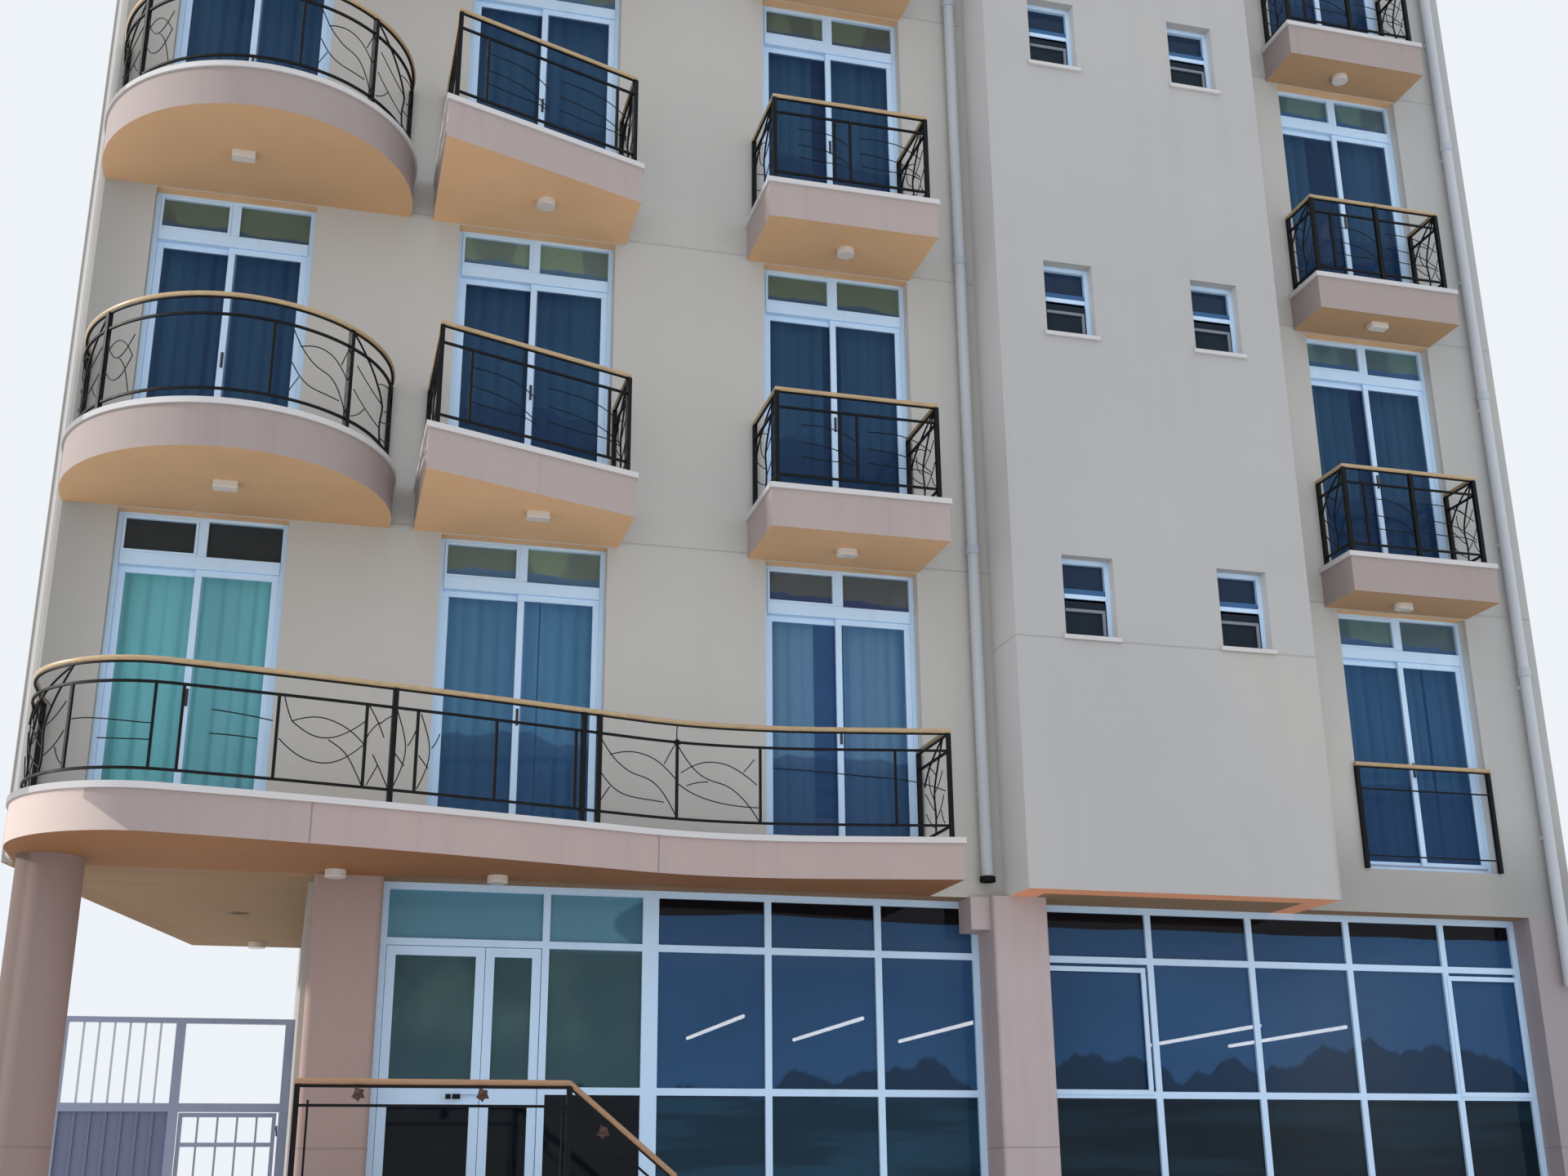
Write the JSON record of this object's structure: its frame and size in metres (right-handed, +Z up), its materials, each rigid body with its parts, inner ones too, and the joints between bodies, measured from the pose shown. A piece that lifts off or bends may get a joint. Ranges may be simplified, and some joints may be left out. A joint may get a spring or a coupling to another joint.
{
  "type": "hotel",
  "caption": "Multi-storey hotel front block with balconies, a projecting bathroom bay, ground-floor glazing, an entrance landing and a gated side passage.",
  "frame": {"origin": "centre of the plan outline, at ground level", "axes": "+Z up, +Y from the street front into the building, +X to the right as seen from the street"},
  "size_m": [14.476, 10.899, 17.33],
  "materials": {
    "render": "fine textured cement render, cream paint",
    "pink_render": "smooth cement render, pinkish beige paint",
    "balcony_render": "smooth cement render, pinkish beige paint",
    "concrete": "plain concrete, painted on soffits",
    "coping_white": "pale polished edging",
    "black_iron": "satin black paint on wrought iron",
    "handrail_wood": "varnished golden brown",
    "white_frame": "white powder coat",
    "tinted_glass": "blue-green tinted, reflective",
    "curtain_fabric": "matte woven",
    "lamp_glass": "opal",
    "pipe_grey": "matte paint",
    "gate_paint": "satin pale grey paint"
  },
  "bodies": {
    "building": {"front_wall_left": "render", "front_wall_right": "render", "bay_front_wall": "render", "bay_side_walls": "render", "skewed_left_wall": "render", "overhang_rear_wall": "render", "rear_left_wall": "render", "passage_wall": "render", "rear_wall": "render", "right_wall": "render", "round_column": "pink_render", "front_piers": "pink_render", "front_plinth": "pink_render", "entrance_platform": "pink_render", "entrance_steps": "pink_render", "long_balcony_slab": "balcony_render", "round_balcony_slabs": "balcony_render", "angled_balcony_slabs": "balcony_render", "square_balcony_slabs": "balcony_render", "ground_floor_slab": "concrete", "first_floor_slab": "concrete", "upper_floor_slabs": "concrete", "roof_slab": "concrete", "balcony_copings": "coping_white", "roof_coping": "coping_white", "window_sills": "coping_white", "long_balcony_railing": "black_iron", "round_balcony_railings": "black_iron", "angled_balcony_railings": "black_iron", "middle_balcony_railings": "black_iron", "end_balcony_railings": "black_iron", "juliet_railing": "black_iron", "entrance_railing": "black_iron", "balcony_handrails": "handrail_wood", "entrance_handrail": "handrail_wood", "balcony_door_frames": "white_frame", "sliding_sashes": "white_frame", "small_window_frames": "white_frame", "rear_window_frames": "white_frame", "left_shopfront_frame": "white_frame", "right_shopfront_frame": "white_frame", "balcony_door_glass": "tinted_glass", "small_window_glass": "tinted_glass", "rear_window_glass": "tinted_glass", "shopfront_glass": "tinted_glass", "curtains": "curtain_fabric", "ceiling_lights": "lamp_glass", "downpipes": "pipe_grey", "gate_frame": "gate_paint", "gate_bars": "gate_paint", "gate_sheet": "gate_paint"},
    "wide_door": {"wide_door_leaf": "white_frame", "wide_door_glass": "tinted_glass"},
    "narrow_door": {"narrow_door_leaf": "white_frame", "narrow_door_glass": "tinted_glass"},
    "passage_gate_leaf": {"gate_leaf": "gate_paint"}
  },
  "joints": [
    {"name": "wide_door_hinge", "type": "hinge", "parent": "building", "child": "wide_door", "pos_m": [-4.20946, -3.56149, 0], "axis": [0, 0, 1], "range_deg": [0, 90]},
    {"name": "narrow_door_hinge", "type": "hinge", "parent": "building", "child": "narrow_door", "pos_m": [-2.92446, -3.56149, 0], "axis": [0, 0, -1], "range_deg": [0, 90]},
    {"name": "gate_hinge", "type": "hinge", "parent": "building", "child": "passage_gate_leaf", "pos_m": [-4.97196, 0.34751, 0], "axis": [0, 0, -1], "range_deg": [0, 90]}
  ]
}
